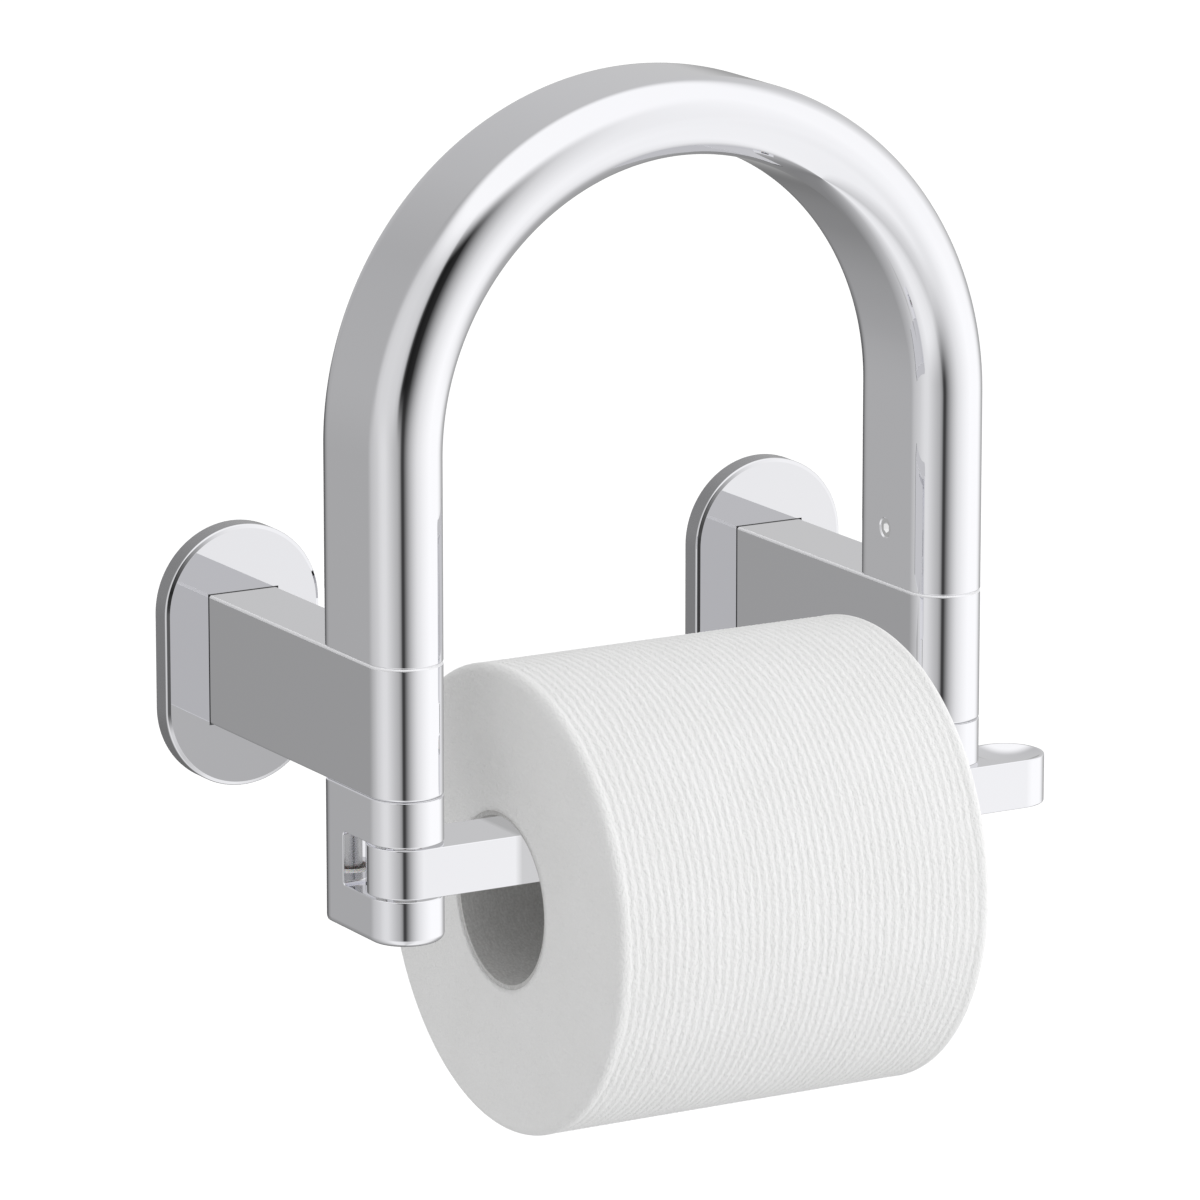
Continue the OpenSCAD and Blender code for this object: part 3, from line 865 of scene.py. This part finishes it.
def build_cover(side, name, node, body):
    """An obround cap: a bevelled front edge, a window for the post and a hollow back."""
    skin = Skin()
    axes = Axes((side * HALF, 0, 0), (1, 0, 0), (0, 0, 1), (0, -1, 0))
    outline = rounded_rect(-COVER_W / 2, COVER_W / 2, -COVER_H / 2, COVER_H / 2,
                           [COVER_W / 2] * 4)
    front, front_normals, face = bevelled_rim(axes, outline, COVER_T)
    ring, out = outline()
    inner = outline(COVER_WALL)[0]
    back, inner_back = axes.points_at(ring, 0), axes.points_at(inner, 0)
    skin.grid(front + [back], front_normals + [front_normals[-1]], wrap=True)
    inside_w = COVER_T - COVER_WALL
    inward = axes.directions(-out, 0)
    skin.grid([inner_back, axes.points_at(inner, inside_w)], [inward, inward], wrap=True)
    skin.grid([back, inner_back], axes.direction([0, 0, -1]), wrap=True)
    a, b = NOSE_R + COVER_GAP, POST_TOP + COVER_GAP
    window = np.array([(a, b), (-a, b), (-a, -b), (a, -b)])
    skin.plate(axes, COVER_T, 1, [face, window])
    skin.plate(axes, inside_w, -1, [inner, window])
    there = np.roll(window, -1, axis=0)
    for p, q in zip(window, there):
        along = (q - p) / np.linalg.norm(q - p)
        corners = [[*p, COVER_T], [*q, COVER_T], [*q, inside_w], [*p, inside_w]]
        skin.add(axes.point(corners)[None], axes.direction([-along[1], along[0], 0]))
    skin.build(name, body, "polished_chrome", cover_chrome, node)


# ---- Paper ----

RIB_PITCH = 2.37 * MM
RIB_HEIGHT = 0.28 * MM
RIB_MARGIN = 2.6 * MM                # smooth border beside each end
RIB_FADE = 1.6 * MM
RIB_ROWS = 7                         # rows of points in one pitch
ROLL_AROUND = 680
BEADS_AROUND = 190
ROLL_SLACK = 0.12 * MM               # how far the paper is from truly round
LAYER_STEP = 0.06 * MM               # how unevenly the wound layers end
LAYER_PITCH = 1.7 * MM
LAP_PITCH = 70 * MM                  # length of one turn of the board's spiral
LAP_HEIGHT = 0.18 * MM
LAP_WIDTH = 0.012                    # of one turn


def wrapped_mesh(name, points, turned=False):
    """A closed mesh from rows of points that wrap both ways; turned swaps its sides."""
    rows, around = points.shape[:2]
    i, j = np.meshgrid(np.arange(rows), np.arange(around), indexing="ij")
    nxt_i, nxt_j = (i + 1) % rows, (j + 1) % around
    corners = [i * around + j, nxt_i * around + j, nxt_i * around + nxt_j, i * around + nxt_j]
    if turned:
        corners = corners[:1] + corners[:0:-1]
    faces = np.stack(corners, axis=2).reshape(-1, 4)
    mesh = bpy.data.meshes.new(name)
    mesh.from_pydata(points.reshape(-1, 3).tolist(), [], faces.tolist())
    mesh.polygons.foreach_set("use_smooth", [True] * len(mesh.polygons))
    return mesh


def build_roll():
    """The wound paper: embossed ribs round it, soft edges and slightly uneven ends."""
    hole = CORE_R + BORE_GAP
    half = ROLL_W / 2
    flat_half = half - ROLL_ROUND
    across = np.linspace(-flat_half, flat_half, int(2 * flat_half / RIB_PITCH * RIB_ROWS))
    edge = np.radians(np.linspace(0, 90, 9))[1:]
    face = np.linspace(ROLL_R - ROLL_ROUND, hole, 24)[1:]
    x = np.concatenate([-np.full(len(face), half)[::-1],
                        -(flat_half + ROLL_ROUND * np.sin(edge))[::-1], across,
                        flat_half + ROLL_ROUND * np.sin(edge), np.full(len(face), half)])
    rounded = ROLL_R - ROLL_ROUND * (1 - np.cos(edge))
    r = np.concatenate([face[::-1], rounded[::-1], np.full(len(across), ROLL_R),
                        rounded, face])
    a = np.linspace(0, 2 * math.pi, ROLL_AROUND, endpoint=False)
    A, X = np.meshgrid(a, x)
    R = np.repeat(r[:, None], ROLL_AROUND, axis=1)

    # Ribs wander a little along X, and each is broken into long soft beads
    wander = (0.07 * np.sin(7 * A + 260 * X) + 0.05 * np.sin(19 * A - 410 * X)
              + 0.04 * np.sin(43 * A + 900 * X)) * RIB_PITCH
    rib = 0.5 + 0.5 * np.cos(2 * math.pi * (X + wander) / RIB_PITCH)
    row = np.round(X / RIB_PITCH)
    bead = 0.5 + 0.5 * np.cos(BEADS_AROUND * A + 2.4 * row + 1.2 * np.sin(3 * A + row))
    fade = np.clip((half - RIB_MARGIN - np.abs(X)) / RIB_FADE, 0, 1)
    fade = fade * fade * (3 - 2 * fade)
    on_side = R > ROLL_R - 1e-9
    dip = RIB_HEIGHT * fade * (1 - rib * (0.42 + 0.58 * bead))
    slack = ROLL_SLACK * (0.5 + 0.5 * np.sin(2 * A + 30 * X) * np.cos(3 * A - 22 * X))
    R = np.where(on_side, R - dip - slack, R - slack * (R - hole) / (ROLL_R - hole))

    # Wound layers stand a hair proud of one another on the cut ends
    on_end = np.abs(X) > half - 1e-9
    sunk = LAYER_STEP * (1 + np.sin(2 * math.pi * R / LAYER_PITCH + 1.5 * np.sin(A)))
    X = np.where(on_end, np.sign(X) * (np.abs(X) - sunk), X)

    points = np.stack([ROLL_X + X, -NOSE_OUT + R * np.cos(A), ROLL_Z + R * np.sin(A)], axis=2)
    mesh = wrapped_mesh("Paper_Winding", points)
    finish_piece("Paper_Winding", mesh, "roll", "tissue", paper, "paper_roll")


def build_core():
    """The board tube, with the step of its spiral lap inside."""
    x = np.linspace(-CORE_W / 2, CORE_W / 2, 110)
    a = np.linspace(0, 2 * math.pi, 120, endpoint=False)
    A, X = np.meshgrid(a, x)
    turn = (A / (2 * math.pi) + X / LAP_PITCH) % 1.0
    lap = LAP_HEIGHT * np.exp(-((turn - 0.5) / LAP_WIDTH) ** 2)
    inside_r = CORE_R - CORE_WALL + lap
    shells = []
    for shell_x, shell_r in ((X, inside_r), (X[::-1], np.full_like(X, CORE_R))):
        shells.append(np.stack([ROLL_X + shell_x, -NOSE_OUT + shell_r * np.cos(A),
                                ROLL_Z + shell_r * np.sin(A)], axis=2))
    mesh = wrapped_mesh("Core_Tube", np.concatenate(shells), turned=True)
    mesh.set_sharp_from_angle(angle=math.radians(50))
    finish_piece("Core_Tube", mesh, "roll", "cardboard", board, "cardboard_core")


# ---- CAD nodes that stay ----

CAD_FINISH = {
    "left_wall_bracket": zinc, "right_wall_bracket": zinc,
    "left_cover_grip": rubber, "right_cover_grip": rubber, "rest_bumper": rubber,
    "left_tie_stud": steel, "right_tie_stud": steel, "tie_nuts": steel,
    "block_dowels": steel, "pivot_pin": steel, "stop_pin": steel,
    "drag_ball": steel, "drag_spring": steel,
    "loop_set_screws": bright_steel, "post_set_screws": bright_steel, "drag_screw": dark_steel,
    "pivot_bush": nylon, "pivot_washers": nylon, "rest_pad": nylon,
}

# What the chrome round the slots mirrors, besides the posts and blocks themselves
SEEN_IN_SLOTS = ("pivot_pin", "pivot_washers", "stop_pin", "drag_ball", "rest_pad",
                 "rest_bumper")


def finish_cad_nodes():
    """Gives every carried-over CAD node its own material."""
    for node, material in CAD_FINISH.items():
        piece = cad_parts[node]
        piece.data.materials.clear()
        piece.data.materials.append(material)
        piece.visible_glossy = node in SEEN_IN_SLOTS


# ---- Studio ----

# Brightness of the studio by bearing, in degrees anticlockwise from +X, at three heights:
# white on the right, a black flag to the left of the camera and a grey side behind. The
# levels come from a measuring script's readings of the chrome in the photo, typed in as
# linear light with two decimals. Only some of MID was changed after that.
LOW = ((-180, 0.72), (-158, 0.88), (-143, 0.86), (-128, 0.80), (-113, 0.62), (-98, 0.72),
       (-83, 0.90), (-38, 0.93), (-20, 0.86), (-8, 0.72), (7, 0.48), (22, 0.38), (40, 0.36),
       (55, 0.28), (70, 0.22), (85, 0.24), (112, 0.36), (142, 0.48), (160, 0.60), (180, 0.72))
MID = ((-180, 0.74), (-170, 0.74), (-160, 0.66), (-144, 0.52), (-134, 0.44), (-127, 0.30),
       (-122, 0.05), (-117, 0.05), (-110, 0.22), (-101, 0.42), (-93, 0.56), (-85, 0.68),
       (-77, 0.78), (-61, 0.90), (-50, 0.96), (-36, 1.02), (0, 1.02),
       (12, 0.90), (24, 0.60), (36, 0.38), (58, 0.40), (67, 0.13), (103, 0.12),
       (110, 0.30), (117, 0.39), (125, 0.43), (138, 0.53), (162, 0.63),
       (170, 0.69), (180, 0.74))
HIGH = ((-180, 0.69), (-156, 0.65), (-147, 0.54), (-141, 0.05), (-136, 0.012),
        (-121, 0.02), (-113, 0.13), (-98, 0.43), (-83, 0.69), (-68, 0.86), (-53, 0.93),
        (-38, 0.99), (0, 0.98), (20, 0.74), (37, 0.60), (67, 0.55), (97, 0.48),
        (112, 0.41), (127, 0.44), (142, 0.62), (157, 0.68), (180, 0.69))
TOP = 0.99
LOW_END, TOP_START = (-15, -32), (34, 56)   # degrees above the horizon of each change
MID_TO_HIGH, FLAG_RISE = (-10, 5), (-12, 6)
FLAG_SLIDE = 9.0                     # degrees that the flag leans to the left going up
SECOND_FRONT, SECOND_BACK, SECOND_HIGH = 0.64, 0.75, 0.56   # seen by chrome seen in chrome
FILL_LEVEL, FILL_UPRIGHT = 1.25, 0.84   # strength on matt surfaces: level, and straight up
FLOOR_HALF, FLOOR_DROP, FLOOR_GLOW = 12.0, 0.35, 0.35
# A glowing grey card: a painted reflection of the roll's shaded end, seen only in the left
# cover
CARD_X, CARD_Y, CARD_Z = (-0.084, -0.03), -0.05, (-0.054, -0.0222)
CARD_LEVEL = 0.46
SOFTBOX_AT = (0.8, -1.1, 0.25)
SOFTBOX_SIZE, SOFTBOX_POWER = 0.9, 4.0


def bearing_ramp(tree, bearing, stops):
    """Grey level by bearing, where 0 to 1 stands for -180 to 180 degrees."""
    ramp = add_node(tree, "ShaderNodeValToRGB", {"Fac": bearing})
    elements = ramp.color_ramp.elements
    while len(elements) > 1:
        elements.remove(elements[-1])
    for k, (degrees, level) in enumerate(stops):
        place = (degrees + 180) / 360
        stop = elements[0] if k == 0 else elements.new(place)
        stop.position = place
        stop.color = (level, level, level, 1)
    return ramp.outputs["Color"]


def blend_levels(tree, factor, a, b):
    mix = add_node(tree, "ShaderNodeMix", data_type="RGBA")
    for key, value in (("Factor", factor), ("A", a), ("B", b)):
        if isinstance(value, bpy.types.NodeSocket):
            tree.links.new(value, mix.inputs[key])
        else:
            mix.inputs[key].default_value = (value, value, value, 1)
    return mix.outputs["Result"]


def build_world():
    """A soft studio all round; the camera itself sees plain white."""
    world = bpy.data.worlds.new("Studio")
    bpy.context.scene.world = world
    world.use_nodes = True
    tree = world.node_tree
    background = tree.nodes["Background"]
    look = add_node(tree, "ShaderNodeTexCoord").outputs["Generated"]
    parts = add_node(tree, "ShaderNodeSeparateXYZ", {0: look}).outputs

    def ease(value, start, end):
        return add_node(tree, "ShaderNodeMapRange", {
            "Value": value, "From Min": start, "From Max": end},
            interpolation_type="SMOOTHSTEP").outputs[0]

    turn = compute(tree, "ARCTAN2", parts[1], parts[0])
    bearing = compute(tree, "ADD", compute(tree, "DIVIDE", turn, 2 * math.pi), 0.5)
    rise = compute(tree, "DEGREES", compute(tree, "ARCSINE", parts[2]))
    slid = compute(tree, "MULTIPLY_ADD", ease(rise, *FLAG_RISE), FLAG_SLIDE / 360)
    tree.links.new(bearing, slid.node.inputs[2])
    low = bearing_ramp(tree, bearing, LOW)
    mid = bearing_ramp(tree, slid, MID)
    high = bearing_ramp(tree, compute(tree, "SUBTRACT", slid, FLAG_SLIDE / 360), HIGH)
    room = blend_levels(tree, ease(rise, *MID_TO_HIGH), mid, high)
    room = blend_levels(tree, ease(rise, *TOP_START), room, TOP)
    room = blend_levels(tree, ease(rise, *LOW_END), room, low)
    path = add_node(tree, "ShaderNodeLightPath").outputs
    second = compute(tree, "GREATER_THAN", path["Glossy Depth"], 1.5)
    ahead = blend_levels(tree, ease(parts[1], -0.2, 0.2), SECOND_FRONT, SECOND_BACK)
    flat = blend_levels(tree, ease(rise, -10, 10), ahead, SECOND_HIGH)
    room = blend_levels(tree, second, room, flat)
    room = blend_levels(tree, path["Is Camera Ray"], room, 1.0)
    steep = compute(tree, "MULTIPLY", parts[2], parts[2])
    soft = compute(tree, "MULTIPLY", steep, FILL_UPRIGHT - FILL_LEVEL)
    soft = compute(tree, "ADD", soft, FILL_LEVEL - 1)
    fill = compute(tree, "ADD", compute(tree, "MULTIPLY", path["Is Diffuse Ray"], soft), 1.0)
    tree.links.new(fill, background.inputs["Strength"])
    tree.links.new(room, background.inputs["Color"])


def glowing_sheet(name, corners, colour, roughness, glow):
    """A four-cornered sheet that gives off white light of its own."""
    mesh = bpy.data.meshes.new(name)
    mesh.from_pydata(corners, [], [(0, 1, 2, 3)])
    material, tree, shader = new_material(name + "_finish", colour, 0, roughness)
    shader.inputs["Emission Color"].default_value = (1, 1, 1, 1)
    shader.inputs["Emission Strength"].default_value = glow
    mesh.materials.append(material)
    return add_object(name, mesh), tree, shader


def build_floor():
    """A plain pale floor well below the holder, seen only from above."""
    size, height = FLOOR_HALF, cad_bounds[0].z - FLOOR_DROP
    corners = [(-size, -size, height), (size, -size, height),
               (size, size, height), (-size, size, height)]
    floor, tree, shader = glowing_sheet("Floor", corners, (0.9, 0.9, 0.9), 0.9, FLOOR_GLOW)
    facing = add_node(tree, "ShaderNodeNewGeometry").outputs["Backfacing"]
    clear = add_node(tree, "ShaderNodeBsdfTransparent")
    pick = add_node(tree, "ShaderNodeMixShader", {0: facing})
    tree.links.new(shader.outputs[0], pick.inputs[1])
    tree.links.new(clear.outputs[0], pick.inputs[2])
    tree.links.new(pick.outputs[0], tree.nodes["Material Output"].inputs["Surface"])
    floor.visible_glossy = floor.visible_diffuse = floor.visible_shadow = False


def build_roll_reflection_card():
    """A grey glowing card behind the hinge block, which only the lower left cover reflects: a
    painted reflection that stands in for the roll's shaded end.
    """
    (x0, x1), y, (z0, z1) = CARD_X, CARD_Y, CARD_Z
    corners = [(x0, y, z0), (x1, y, z0), (x1, y, z1), (x0, y, z1)]
    card = glowing_sheet("Roll_End_Reflection_Card", corners, (0, 0, 0), 1, CARD_LEVEL)[0]
    card.visible_camera = card.visible_diffuse = card.visible_shadow = False


def build_light():
    """One broad soft light from the front right, which only matt surfaces feel."""
    data = bpy.data.lights.new("Softbox", "AREA")
    data.shape, data.size = "DISK", SOFTBOX_SIZE
    data.energy = SOFTBOX_POWER
    light = add_object("Softbox", data)
    light.location = SOFTBOX_AT
    aim = Vector((ROLL_X, -NOSE_OUT, ROLL_Z)) - light.location
    light.rotation_euler = aim.to_track_quat("-Z", "Y").to_euler()
    light.visible_glossy = False
    data.specular_factor = 0.0


# The camera stands to the left of the holder and above it, far off with a long lens
CAMERA_AT = (-1.03425, -1.85173, 0.51011)
CAMERA_BEARING = 29.909              # degrees to the right of +Y
CAMERA_DIP = 13.421                  # degrees below the horizon
CAMERA_LENS = 245.434


def build_camera():
    data = bpy.data.cameras.new("Camera")
    data.sensor_width = 36
    data.lens = CAMERA_LENS
    data.clip_start, data.clip_end = 0.05, 50
    camera = add_object("Camera", data)
    camera.location = CAMERA_AT
    camera.rotation_euler = (math.radians(90 - CAMERA_DIP), 0, -math.radians(CAMERA_BEARING))
    bpy.context.scene.camera = camera


build_loop()
build_post(LEFT, "Left_Post_Bar", "left_post")
build_post(RIGHT, "Right_Post_Bar", "right_post")
build_hinge_block()
build_rest_block()
build_arm()
build_cover(LEFT, "Left_Cover_Cap", "left_cover", "left_cover_slider")
build_cover(RIGHT, "Right_Cover_Cap", "right_cover", "right_cover_slider")
build_roll()
build_core()
finish_cad_nodes()
build_world()
build_floor()
build_roll_reflection_card()
build_light()
build_camera()
bpy.context.scene.view_settings.view_transform = "Standard"
